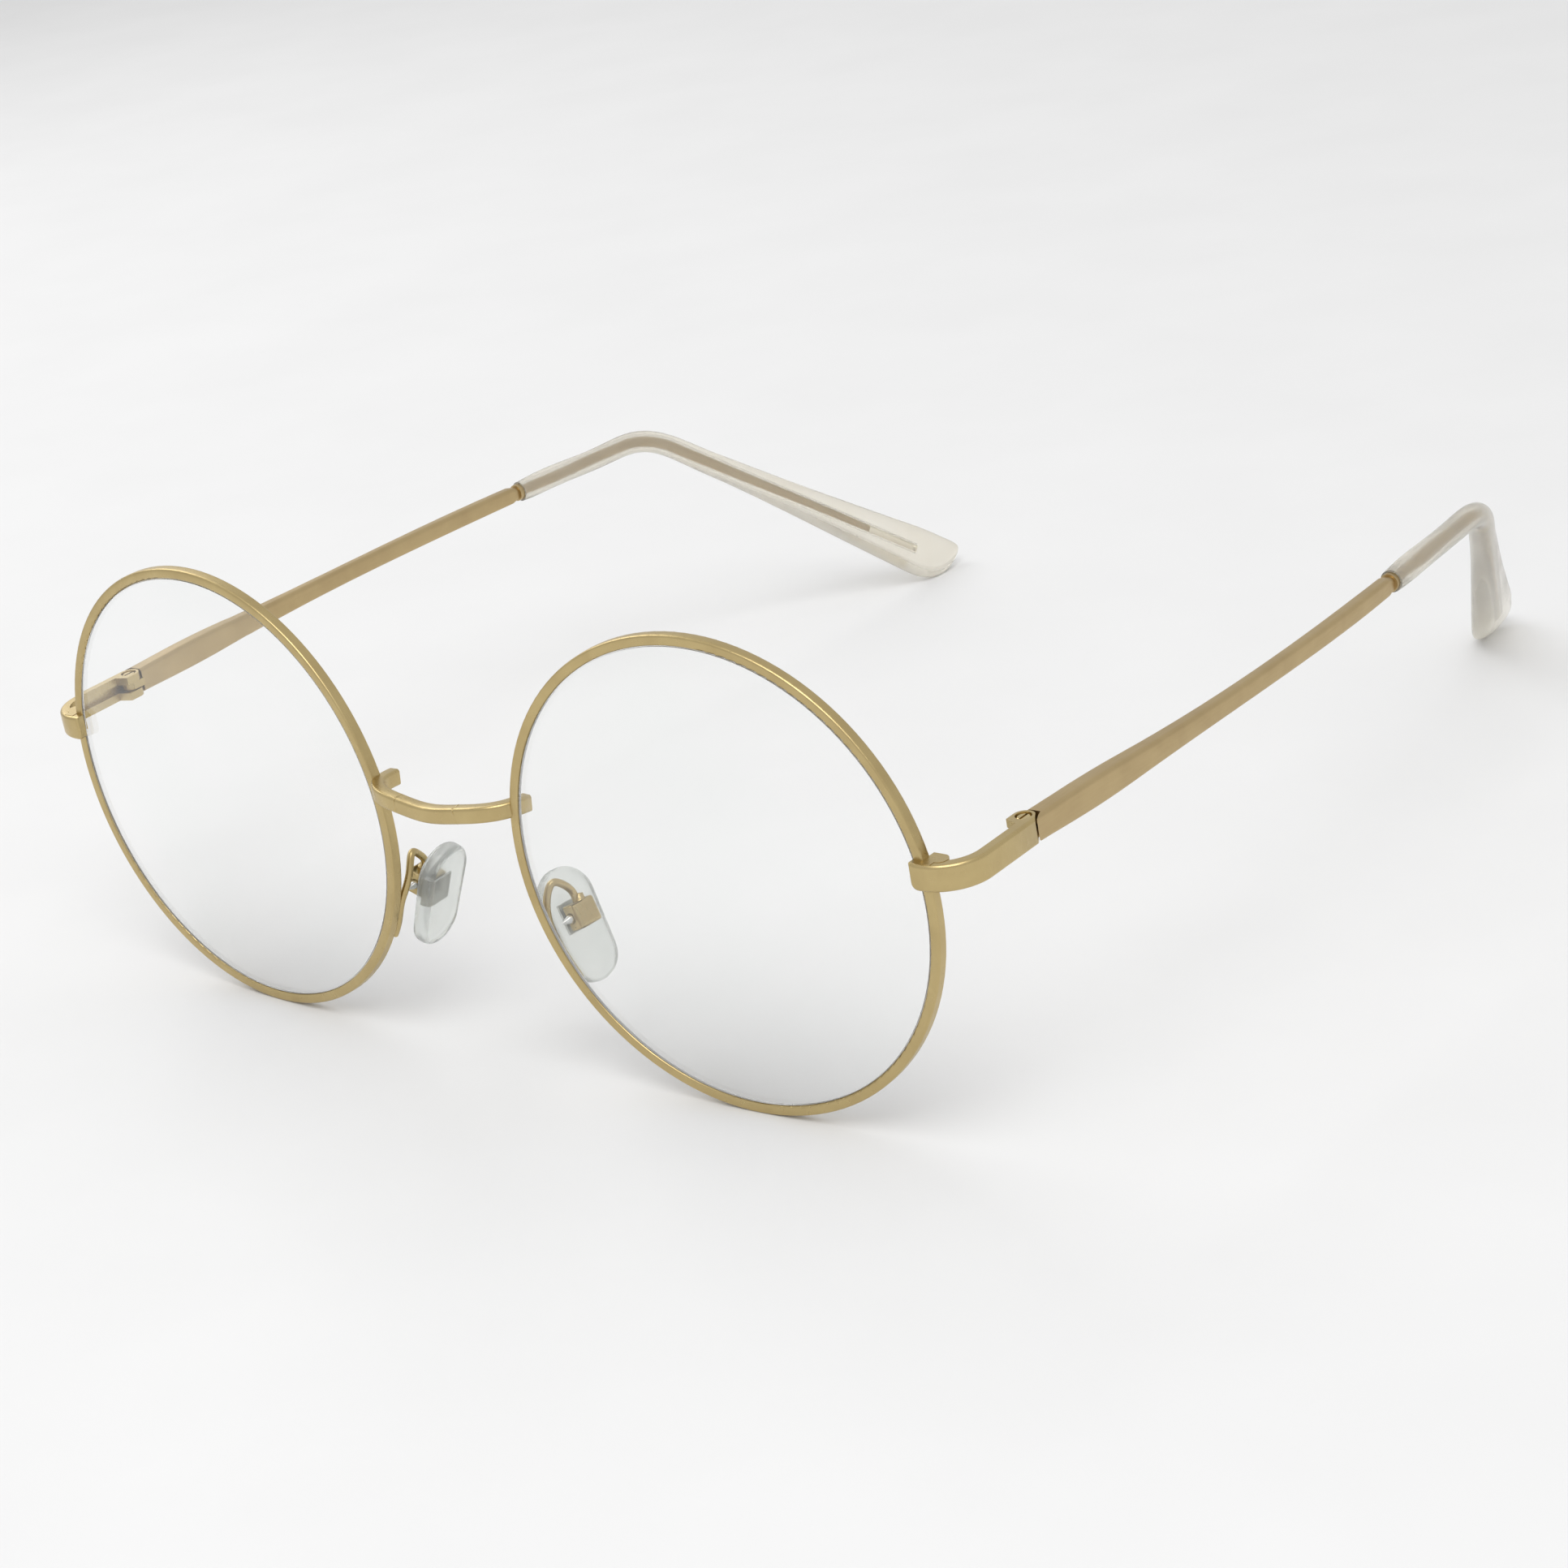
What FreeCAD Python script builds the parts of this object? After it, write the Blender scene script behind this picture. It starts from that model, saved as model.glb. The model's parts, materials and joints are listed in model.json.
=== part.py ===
import FreeCAD, Part

import math
import os
import re

import Sketcher

# Round metal eyeglasses, size 52-20-145, built as their separate pieces.
# Design frame: +X is the wearer's left, +Y points back along the temples, +Z is up, and the
# origin is midway between the two lenses. At the end everything is tilted and lifted together
# until the rims and the ear tips stand on Z = 0 and the origin is under the middle of the box.

SIZES = {
    # rims and lenses
    "lens_spacing": 72.5,
    "wrap_angle": 3.0,
    "rim_inner_r": 25.6,
    "rim_outer_r": 26.75,
    "rim_depth": 1.35,
    "rim_edge_round": 0.25,
    "groove_depth": 0.47,
    "groove_half_width": 0.42,
    "rim_gap": 0.12,
    "lens_edge_r": 25.5,
    "lens_bevel_r": 26.0,
    "lens_bevel_half": 0.36,
    "lens_edge_half": 0.55,
    "lens_front_radius": 130.0,
    "lens_back_radius": 132.0,
    # endpiece and hinge, one side
    "side_level": 4.2,
    "endpiece_start_x": 61.15,
    "endpiece_front_y": -0.3,
    "endpiece_thickness": 1.2,
    "endpiece_height": 2.9,
    "endpiece_outer_x": 67.4,
    "endpiece_bend_r": 5.2,
    "endpiece_nose_round": 0.8,
    "endpiece_edge_round": 0.4,
    "hinge_x": 65.85,
    "hinge_y": 12.8,
    "ear_r": 1.2,
    "ear_length": 1.3,
    "ear_ramp": 0.5,
    "knuckle_slot_start_y": 5.4,
    "knuckle_slot_height": 1.05,
    "knuckle_slot_outer_x": 66.92,
    "knuckle_r": 1.0,
    "knuckle_height": 0.95,
    "knuckle_bore_r": 0.55,
    "hinge_bore_r": 0.51,
    "hinge_shank_r": 0.5,
    "hinge_head_r": 0.8,
    "hinge_head_height": 0.4,
    "hinge_seat_r": 0.88,
    "hinge_seat_depth": 0.5,
    # closing blocks and screw
    "block_inner_x": 62.3,
    "block_end_x": 63.65,
    "block_end_r": 0.95,
    "block_mid_y": 1.75,
    "block_front_y": 0.1,
    "upper_block_height": 1.5,
    "lower_block_height": 1.0,
    "upper_block_cover": 0.4,
    "closing_screw_x": 63.5,
    "closing_screw_y": 1.9,
    "closing_shank_r": 0.42,
    "closing_head_r": 0.65,
    "closing_head_height": 0.4,
    "screw_slot_width": 0.28,
    "screw_slot_depth": 0.25,
    # bridge
    "bridge_half_height": 0.92,
    "bridge_half_depth": 0.78,
    "bridge_corner_r": 0.35,
    # temples
    "temple_start_gap": 0.15,
    "mitre_endpiece_y": 0.3,
    "mitre_temple_y": 0.1,
    "mitre_temple_x": 1.1,
    "temple_length_to_mouth": 69.3,
    "temple_front_splay": 0.06,
    "temple_rear_toe": 0.082,
    "temple_drop": 1.1,
    "temple_spread": 0.3,
    "temple_front_width": 2.2,
    "temple_front_height": 2.9,
    "temple_full_height": 3.1,
    "temple_quarter_height": 2.75,
    "temple_mid_width": 1.6,
    "temple_mid_height": 2.25,
    "temple_end_width": 1.6,
    "temple_end_height": 2.1,
    "temple_corner_r": 0.45,
    "neck_r": 0.7,
    "collar_r": 1.1,
    "collar_length": 0.7,
    # ear tips
    "bend_start": 19.5,
    "bend_radius": 12.0,
    "bend_angle": 42.5,
    "bend_roll": 30.0,
    "core_straight": 32.7,
    "bore_straight": 41.0,
    "bore_clearance": 0.05,
    # nose pads and their arms
    "pad_arm_r": 0.42,
    "pad_splay": 4.0,
    "pad_lean": 22.0,
    "pad_rake": 1.0,
    "pad_centre_x": 12.1,
    "pad_centre_y": 3.8,
    "pad_centre_z": -9.4,
    "pad_thickness": 2.0,
    "pad_top_r": 3.5,
    "pad_bottom_r": 3.2,
    "pad_centres": 6.3,
    "pad_back_gap": 1.0,
    "pad_shift_back": 0.5,
    "pad_shift_down": 1.3,
    "pad_edge_round": 0.75,
    "box_height": 2.8,
    "box_width": 3.0,
    "box_front": 0.72,
    "box_back": 1.4,
    "box_round": 0.5,
    "box_slot_width": 1.5,
    "box_slot_height": 2.3,
    "box_slot_depth": 1.82,
    "boss_width": 1.36,
    "boss_r": 1.0,
    "boss_bore_r": 0.55,
    "insert_thickness": 0.5,
    "insert_height": 3.4,
    "insert_width": 2.8,
    "pad_shank_r": 0.5,
    "pad_screw_bore_r": 0.51,
    "pad_head_r": 0.8,
    "pad_head_height": 0.4,
    "pad_point": 1.1,
}

doc = FreeCAD.newDocument("Eyeglasses")
sheet = doc.addObject("Spreadsheet::Sheet", "Sizes")
for row, (alias, number) in enumerate(SIZES.items(), start=1):
    sheet.set("A%d" % row, alias)
    sheet.set("B%d" % row, str(number))
    sheet.setAlias("B%d" % row, alias)
doc.recompute()

WORDS = re.compile(r"[a-z][a-z_0-9]*")
placed = []
nodes = {}


def bound(text):
    """A size expression with every sheet alias named in full."""
    return WORDS.sub(lambda m: "Sizes." + m.group(0) if m.group(0) in SIZES else m.group(0), text)


def size(text):
    """The value of a size expression."""
    value = sheet.evalExpression(bound(text))
    return float(getattr(value, "Value", value))


def vec(x, y, z):
    return FreeCAD.Vector(x, y, z)


def bind(obj, **expressions):
    for prop, text in expressions.items():
        obj.setExpression(prop, bound(text))
    return obj


def place(obj, placement=None):
    """Put a piece in the design frame, and remember it for the final standing pose."""
    obj.Placement = placement or FreeCAD.Placement()
    placed.append((obj, obj.Placement))
    return obj


def turned(angle, axis, at=None):
    return FreeCAD.Placement(at or vec(0, 0, 0), FreeCAD.Rotation(axis, angle))


def node(obj, label):
    obj.Label = label
    nodes[label] = obj
    return obj


# Sketch helpers

def new_body(name, placement=None):
    return place(doc.addObject("PartDesign::Body", name), placement)


def new_sketch(body, name, plane="XY_Plane", offset=None):
    sketch = body.newObject("Sketcher::SketchObject", name)
    support = [f for f in body.Origin.OriginFeatures if f.Role == plane][0]
    sketch.AttachmentSupport = (support, "")
    sketch.MapMode = "FlatFace"
    sketch.AttachmentOffset = offset or FreeCAD.Placement()
    return sketch


def lock(sketch, geometry, point, x, y):
    """Hold a point of a sketch at (x, y), given as size expressions."""
    for kind, text in (("DistanceX", x), ("DistanceY", y)):
        if text == "free":
            continue
        where = Sketcher.Constraint(kind, -1, 1, geometry, point, size(text))
        index = sketch.addConstraint(where)
        if WORDS.search(text):
            sketch.setExpression("Constraints[%d]" % index, bound(text))


def polygon(sketch, points):
    """A closed polygon with each corner held by size expressions."""
    corners = [vec(size(x), size(y), 0) for x, y in points]
    count = len(corners)
    for i in range(count):
        sketch.addGeometry(Part.LineSegment(corners[i], corners[(i + 1) % count]))
    for i in range(count):
        sketch.addConstraint(Sketcher.Constraint("Coincident", i, 2, (i + 1) % count, 1))
    for i, (x, y) in enumerate(points):
        lock(sketch, i, 1, x, y)
    return sketch


def circle(sketch, radius, x="0", y="0"):
    centre = vec(size(x), size(y), 0)
    geometry = sketch.addGeometry(Part.Circle(centre, vec(0, 0, 1), size(radius)))
    index = sketch.addConstraint(Sketcher.Constraint("Radius", geometry, size(radius)))
    sketch.setExpression("Constraints[%d]" % index, bound(radius))
    lock(sketch, geometry, 3, x, y)
    return sketch


def outline(sketch, start, steps):
    """A closed outline of lines and arcs, its corners held by size expressions.

    Each step is (x, y) for a line or (x, y, centre_x, centre_y, turn) for an arc, where turn is
    1 for anticlockwise and -1 for clockwise.
    """
    here = start
    ends = []
    for step in steps:
        a = vec(size(here[0]), size(here[1]), 0)
        b = vec(size(step[0]), size(step[1]), 0)
        if len(step) == 2:
            geometry = sketch.addGeometry(Part.LineSegment(a, b))
            ends.append((geometry, 1, 2))
        else:
            c = vec(size(step[2]), size(step[3]), 0)
            first, last = (a, b) if step[4] > 0 else (b, a)
            angles = [math.atan2(p.y - c.y, p.x - c.x) for p in (first, last)]
            ring = Part.Circle(c, vec(0, 0, 1), (a - c).Length)
            geometry = sketch.addGeometry(Part.ArcOfCircle(ring, angles[0], angles[1]))
            ends.append((geometry, 1, 2) if step[4] > 0 else (geometry, 2, 1))
            lock(sketch, geometry, 3, step[2], step[3])
        here = step[:2]
    for i, (geometry, first, last) in enumerate(ends):
        following = ends[(i + 1) % len(ends)]
        sketch.addConstraint(
            Sketcher.Constraint("Coincident", geometry, last, following[0], following[1])
        )
        x, y = steps[i][:2]
        if len(steps[i]) == 5:
            across = abs(size(x) - size(steps[i][2])) > abs(size(y) - size(steps[i][3]))
            x, y = ("free", y) if across else (x, "free")
        lock(sketch, geometry, last, x, y)
    return sketch


# Feature helpers

def revolved(body, name, sketch):
    feature = body.newObject("PartDesign::Revolution", name)
    feature.Profile = sketch
    feature.ReferenceAxis = (sketch, ["V_Axis"])
    feature.Angle = 360.0
    doc.recompute()
    return feature


def pad(body, name, sketch, length, both_ways=True):
    feature = body.newObject("PartDesign::Pad", name)
    feature.Profile = sketch
    feature.SideType = "Symmetric" if both_ways else "One side"
    bind(feature, Length=length)
    doc.recompute()
    return feature


def pocket(body, name, sketch, depth, both_ways=True):
    before = body.Shape.Volume
    feature = body.newObject("PartDesign::Pocket", name)
    feature.Profile = sketch
    feature.SideType = "Symmetric" if both_ways else "One side"
    bind(feature, Length=depth)
    doc.recompute()
    if not body.Shape.Volume < before:
        raise RuntimeError("%s cuts nothing" % name)
    return feature


def rounded(body, name, radius, wanted):
    """Round the edges of a body that the test wanted(edge) picks."""
    base = body.Tip
    picked = ["Edge%d" % (i + 1) for i, e in enumerate(base.Shape.Edges) if wanted(e)]
    if not picked:
        raise RuntimeError("%s rounds nothing" % name)
    feature = body.newObject("PartDesign::Fillet", name)
    feature.Base = (base, picked)
    bind(feature, Radius=radius)
    doc.recompute()
    return feature


def straight_along(edge, direction):
    line = edge.Curve
    return hasattr(line, "Direction") and abs(line.Direction.dot(direction)) > 0.999


def cut(base, tool, name):
    result = doc.addObject("Part::Cut", name)
    result.Base = base
    result.Tool = tool
    return result


def fuse(shapes, name):
    result = doc.addObject("Part::MultiFuse", name)
    result.Shapes = shapes
    return result


# Rims and lenses

def rim_frame():
    """The left lens's own frame: x towards the temple, y backwards along its axis, z up."""
    return turned(size("wrap_angle"), vec(0, 0, 1), vec(size("lens_spacing / 2"), 0, 0))


def make_rim():
    body = new_body("RimBody", rim_frame())
    groove = "rim_inner_r + groove_depth"
    section = polygon(new_sketch(body, "RimSection"), [
        ("rim_inner_r", "-rim_depth / 2"),
        ("rim_outer_r", "-rim_depth / 2"),
        ("rim_outer_r", "rim_depth / 2"),
        ("rim_inner_r", "rim_depth / 2"),
        ("rim_inner_r", "groove_half_width"),
        (groove, "0"),
        ("rim_inner_r", "-groove_half_width"),
    ])
    revolved(body, "RimRing", section)

    def on_a_corner(edge):
        ring = edge.Curve
        return hasattr(ring, "Radius") and abs(abs(ring.Center.y) - size("rim_depth / 2")) < 0.01

    rounded(body, "RimSoftEdges", "rim_edge_round", on_a_corner)
    at_gap = FreeCAD.Placement(vec(0, 0, size("side_level")), FreeCAD.Rotation())
    split = new_sketch(body, "RimSplit", offset=at_gap)
    polygon(split, [
        ("rim_inner_r - 1.5", "-rim_depth"),
        ("rim_outer_r + 1", "-rim_depth"),
        ("rim_outer_r + 1", "rim_depth"),
        ("rim_inner_r - 1.5", "rim_depth"),
    ])
    pocket(body, "RimGap", split, "rim_gap")
    return node(body, "rim_left")


def make_lens():
    body = new_body("LensBody", rim_frame())
    sketch = new_sketch(body, "LensSection")
    front = "(lens_front_radius ^ 2 - lens_edge_r ^ 2) ^ 0.5 - lens_edge_half"
    back = "(lens_back_radius ^ 2 - lens_edge_r ^ 2) ^ 0.5 + lens_edge_half"
    front_vertex = "(" + front + ") - lens_front_radius"
    back_vertex = "(" + back + ") - lens_back_radius"
    outline(sketch, ("0", front_vertex), [
        ("lens_edge_r", "-lens_edge_half", "0", front, 1),
        ("lens_edge_r", "-lens_bevel_half"),
        ("lens_bevel_r", "0"),
        ("lens_edge_r", "lens_bevel_half"),
        ("lens_edge_r", "lens_edge_half"),
        ("0", back_vertex, "0", back, -1),
        ("0", front_vertex),
    ])
    revolved(body, "LensBlank", sketch)
    return node(body, "lens_left")


# Endpiece, closing blocks and their screw

def make_endpiece(rim, lens):
    body = new_body("EndpieceBody", turned(0, vec(0, 0, 1), vec(0, 0, size("side_level"))))
    plan = new_sketch(body, "EndpiecePlan")
    bend_x = "endpiece_outer_x - endpiece_bend_r"
    bend_y = "endpiece_front_y + endpiece_bend_r"
    inner_x = "endpiece_outer_x - endpiece_thickness"
    back_y = "endpiece_front_y + endpiece_thickness"
    ear_x = "hinge_x - ear_r"
    ramp_y = "hinge_y - ear_length"
    outline(plan, ("endpiece_start_x", "endpiece_front_y"), [
        (bend_x, "endpiece_front_y"),
        ("endpiece_outer_x", bend_y, bend_x, bend_y, 1),
        ("endpiece_outer_x", "hinge_y - mitre_endpiece_y"),
        ("hinge_x + ear_r * 0.7071", "hinge_y + ear_r * 0.7071"),
        (ear_x, "hinge_y", "hinge_x", "hinge_y", 1),
        (ear_x, ramp_y),
        (inner_x, ramp_y + " - ear_ramp"),
        (inner_x, bend_y),
        (bend_x, back_y, bend_x, bend_y, -1),
        ("endpiece_start_x", back_y),
        ("endpiece_start_x", "endpiece_front_y"),
    ])
    pad(body, "EndpieceBar", plan, "endpiece_height")
    top = size("endpiece_height / 2")

    def nose_corner(edge):
        middle = edge.CenterOfMass
        at_start = abs(middle.x - size("endpiece_start_x")) < 0.01
        return at_start and straight_along(edge, vec(0, 1, 0)) and middle.z < 0

    def outer_rim(edge):
        box = edge.BoundBox
        flat = abs(abs(box.Center.z) - top) < 0.01 and box.ZLength < 0.01
        outside = box.XMax > size("endpiece_outer_x") - 0.01 and box.XLength < size("endpiece_bend_r") + 0.1
        front = abs(box.YMax - size("endpiece_front_y")) < 0.01
        return flat and (outside or front) and box.YMin < size("hinge_y") - 1

    rounded(body, "EndpieceNose", "endpiece_nose_round", nose_corner)
    rounded(body, "EndpieceSoftEdges", "endpiece_edge_round", outer_rim)

    slot = new_sketch(body, "KnuckleSlotPlan")
    polygon(slot, [
        ("knuckle_slot_outer_x - 4", "knuckle_slot_start_y"),
        ("knuckle_slot_outer_x", "knuckle_slot_start_y"),
        ("knuckle_slot_outer_x", "hinge_y + 3"),
        ("knuckle_slot_outer_x - 4", "hinge_y + 3"),
    ])
    pocket(body, "KnuckleSlot", slot, "knuckle_slot_height")
    bore = circle(new_sketch(body, "HingeBorePlan"), "hinge_bore_r", "hinge_x", "hinge_y")
    pocket(body, "HingeBore", bore, "endpiece_height * 2")
    seat = new_sketch(body, "HingeSeatPlan")
    seat.AttachmentOffset = turned(0, vec(0, 0, 1), vec(0, 0, top))
    circle(seat, "hinge_seat_r", "hinge_x", "hinge_y")
    pocket(body, "HingeSeat", seat, "hinge_seat_depth", both_ways=False)
    on_rim = cut(body, rim, "EndpieceOnRim")
    return node(cut(on_rim, lens, "EndpieceClearOfLens"), "endpiece_left")


def make_block(name, bottom, top, bore_r, cover, rim, endpiece):
    """One closing block: a lug round the rim's end, cut to fit the rim and the endpiece."""
    middle = (size(bottom) + size(top)) / 2
    body = new_body(name + "Body", turned(0, vec(0, 0, 1), vec(0, 0, middle)))
    plan = new_sketch(body, name + "Plan")
    outline(plan, ("block_inner_x", "block_front_y"), [
        ("block_end_x", "block_front_y"),
        ("block_end_x", "block_mid_y - block_end_r"),
        ("block_end_x", "block_mid_y + block_end_r", "block_end_x", "block_mid_y", 1),
        ("block_inner_x", "block_mid_y + block_end_r"),
        ("block_inner_x", "block_front_y"),
    ])
    pad(body, name + "Pad", plan, "(" + top + ") - (" + bottom + ")")
    bore = new_sketch(body, name + "BorePlan")
    bore.AttachmentOffset = turned(0, vec(0, 0, 1), vec(0, 0, size(top) - size(cover) - middle))
    circle(bore, bore_r, "closing_screw_x", "closing_screw_y")
    pocket(body, name + "Bore", bore, "upper_block_height * 2", both_ways=False)
    return cut(cut(body, rim, name + "AroundRim"), endpiece, name)


def make_closing(rim, endpiece):
    gap = "rim_gap / 2"
    upper = make_block(
        "UpperBlock", "side_level + " + gap, "side_level + upper_block_height",
        "closing_shank_r + 0.01", "upper_block_cover", rim, endpiece,
    )
    lower = make_block(
        "LowerBlock", "side_level - lower_block_height", "side_level - " + gap,
        "closing_shank_r + 0.05", "0", rim, endpiece,
    )
    node(upper, "closing_block_upper_left")
    node(lower, "closing_block_lower_left")
    at = vec(
        size("closing_screw_x"), size("closing_screw_y"), size("side_level - lower_block_height")
    )
    screw = make_screw(
        "ClosingScrew", turned(-90, vec(1, 0, 0), at), "closing_head_r", "closing_head_height",
        "closing_shank_r", "lower_block_height + 0.9", "0.2",
    )
    return node(screw, "closing_screw_left")


def make_screw(name, placement, head_r, head_height, shank_r, shank_length, point):
    """A slotted screw along its own y axis: the head on the + side of y = 0, the shank on the -."""
    body = new_body(name + "Body", placement)
    sketch = new_sketch(body, name + "Section")
    polygon(sketch, [
        ("0", head_height),
        ("(" + head_r + ") * 0.8", head_height),
        (head_r, "(" + head_height + ") * 0.7"),
        (head_r, "0"),
        (shank_r, "0"),
        (shank_r, "-(" + shank_length + ")"),
        ("(" + shank_r + ") * 0.15", "-(" + shank_length + ") - (" + point + ")"),
        ("0", "-(" + shank_length + ") - (" + point + ")"),
    ])
    revolved(body, name + "Turned", sketch)
    slot = new_sketch(body, name + "SlotPlan")
    polygon(slot, [
        ("-screw_slot_width / 2", head_height + " - screw_slot_depth"),
        ("screw_slot_width / 2", head_height + " - screw_slot_depth"),
        ("screw_slot_width / 2", head_height + " + 1"),
        ("-screw_slot_width / 2", head_height + " + 1"),
    ])
    pocket(body, name + "Slot", slot, head_r + " * 4")
    return body


# Hinge screw, temple and ear tip

def make_hinge_screw():
    seat_z = size("side_level + endpiece_height / 2 - hinge_seat_depth")
    at = vec(size("hinge_x"), size("hinge_y"), seat_z)
    body = make_screw(
        "HingeScrew", turned(90, vec(1, 0, 0), at), "hinge_head_r", "hinge_head_height",
        "hinge_shank_r", "endpiece_height - hinge_seat_depth - 0.25", "0.15",
    )
    return node(body, "hinge_screw_left")


def make_knuckle():
    """The hinge's middle knuckle, brazed to the front end of the temple."""
    body = new_body("KnuckleBody", turned(0, vec(0, 0, 1), vec(0, 0, size("side_level"))))
    plan = new_sketch(body, "KnucklePlan")
    end_y = "hinge_y + ear_r + temple_start_gap"
    outline(plan, ("hinge_x + knuckle_r", end_y), [
        ("hinge_x - knuckle_r", end_y),
        ("hinge_x - knuckle_r", "hinge_y"),
        ("hinge_x + knuckle_r", "hinge_y", "hinge_x", "hinge_y", 1),
        ("hinge_x + knuckle_r", end_y),
    ])
    pad(body, "KnucklePad", plan, "knuckle_height")
    bore = circle(new_sketch(body, "KnuckleBorePlan"), "knuckle_bore_r", "hinge_x", "hinge_y")
    pocket(body, "KnuckleBore", bore, "knuckle_height * 3")
    return node(body, "hinge_knuckle_left")


def rounded_rectangle(sketch, width, height, radius):
    """A rectangle with round corners about the sketch's origin."""
    w, tall, r = size(width) / 2, size(height) / 2, size(radius)
    corners = [(w, tall), (-w, tall), (-w, -tall), (w, -tall)]
    lines = []
    for i, (x, y) in enumerate(corners):
        nx, ny = corners[(i + 1) % 4]
        along = vec(nx - x, ny - y, 0).normalize() * r
        start, end = vec(x, y, 0) + along, vec(nx, ny, 0) - along
        lines.append(sketch.addGeometry(Part.LineSegment(start, end)))
    for i, (x, y) in enumerate(corners):
        centre = vec(x - math.copysign(r, x), y - math.copysign(r, y), 0)
        ring = Part.Circle(centre, vec(0, 0, 1), r)
        first = i * math.pi / 2
        arc = sketch.addGeometry(Part.ArcOfCircle(ring, first, first + math.pi / 2))
        sketch.addConstraint(Sketcher.Constraint("Tangent", lines[i - 1], 2, arc, 1))
        sketch.addConstraint(Sketcher.Constraint("Tangent", arc, 2, lines[i], 1))
        if i:
            sketch.addConstraint(Sketcher.Constraint("Equal", arc, 4))
        else:
            index = sketch.addConstraint(Sketcher.Constraint("Radius", arc, r))
            sketch.setExpression("Constraints[%d]" % index, bound(radius))
    for i in (0, 2):
        sketch.addConstraint(Sketcher.Constraint("Horizontal", lines[i]))
        sketch.addConstraint(Sketcher.Constraint("Vertical", lines[i + 1]))
    half_w, half_h = "(" + width + ") / 2", "(" + height + ") / 2"
    lock(sketch, lines[0], 1, "free", half_h)
    lock(sketch, lines[2], 1, "free", "-" + half_h)
    lock(sketch, lines[1], 1, "-" + half_w, "free")
    lock(sketch, lines[3], 1, half_w, "free")
    return sketch


def temple_line(t):
    """The temple's centre line: its point and outward slope at the fraction t of its length."""
    length = size("temple_length_to_mouth")
    front, rear = size("temple_front_splay"), size("temple_rear_toe")
    spread = size("temple_spread")
    start_x = size("endpiece_outer_x - temple_front_width / 2")
    start_y = size("hinge_y + ear_r + temple_start_gap")
    rise = (t ** 3 - 2 * t ** 2 + t) * front - (t ** 3 - t ** 2) * rear
    slope = (3 * t ** 2 - 4 * t + 1) * front - (3 * t ** 2 - 2 * t) * rear
    level = size("side_level") - size("temple_drop") * t
    out = start_x + length * rise + spread * (3 * t ** 2 - 2 * t ** 3)
    slope += spread / length * 6 * (t - t ** 2)
    point = vec(out, start_y + length * t, level)
    return point, slope


TEMPLE_SECTIONS = [
    (-0.03, "temple_front_width", "temple_front_height", "temple_corner_r"),
    (0.0, "temple_front_width", "temple_front_height", "temple_corner_r"),
    (0.08, "temple_front_width - 0.05", "temple_full_height", "temple_corner_r"),
    (0.25, "(temple_front_width + temple_mid_width) / 2", "temple_quarter_height", "temple_corner_r"),
    (0.45, "temple_mid_width", "temple_mid_height", "temple_corner_r"),
    (0.70, "temple_mid_width", "(temple_mid_height + temple_end_height) / 2", "temple_corner_r"),
    (0.972, "temple_end_width", "temple_end_height", "temple_corner_r"),
    (0.992, "neck_r * 2 + 0.1", "neck_r * 2 + 0.1", "neck_r - 0.1"),
]


def make_temple_arm():
    """The arm's tapering bar, lofted through sections square to its bowed centre line."""
    body = new_body("TempleArmBody")
    sections = []
    for i, (t, width, height, corner) in enumerate(TEMPLE_SECTIONS):
        point, slope = temple_line(t)
        angle = -math.degrees(math.atan(slope)) if t > 0 else 0.0
        offset = FreeCAD.Placement(
            vec(point.x, point.z, -point.y), FreeCAD.Rotation(vec(0, 1, 0), angle)
        )
        sketch = new_sketch(body, "TempleSection%d" % i, "XZ_Plane", offset)
        sections.append(rounded_rectangle(sketch, width, height, corner))
    for name, first, last in (("TempleBar", 0, 7), ("TempleBevel", 6, 8)):
        loft = body.newObject("PartDesign::AdditiveLoft", name)
        loft.Profile = sections[first]
        loft.Sections = sections[first + 1:last]
        doc.recompute()
    mitre = new_sketch(body, "TempleMitrePlan")
    start_y = "hinge_y + ear_r + temple_start_gap"
    polygon(mitre, [
        ("hinge_x - 3", "hinge_y - 5"),
        ("endpiece_outer_x + 2", "hinge_y - 5"),
        ("endpiece_outer_x + 2", "hinge_y - mitre_temple_y"),
        ("endpiece_outer_x", "hinge_y - mitre_temple_y"),
        ("hinge_x + mitre_temple_x", start_y),
        ("hinge_x - 3", start_y),
    ])
    pocket(body, "TempleMitre", mitre, "temple_front_height * 6")
    return body


def ear_frame():
    """The ear bend's own frame: x on along the temple from the tip's mouth, y the way it bends."""
    point, slope = temple_line(1.0)
    fall = size("temple_drop / temple_length_to_mouth")
    along = vec(slope, 1, -fall).normalize()
    roll = math.radians(size("bend_roll"))
    down_and_in = vec(-math.sin(roll), 0, -math.cos(roll))
    side = along.cross(down_and_in)
    return FreeCAD.Placement(point, FreeCAD.Rotation(along, down_and_in, side, "XZY"))


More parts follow.
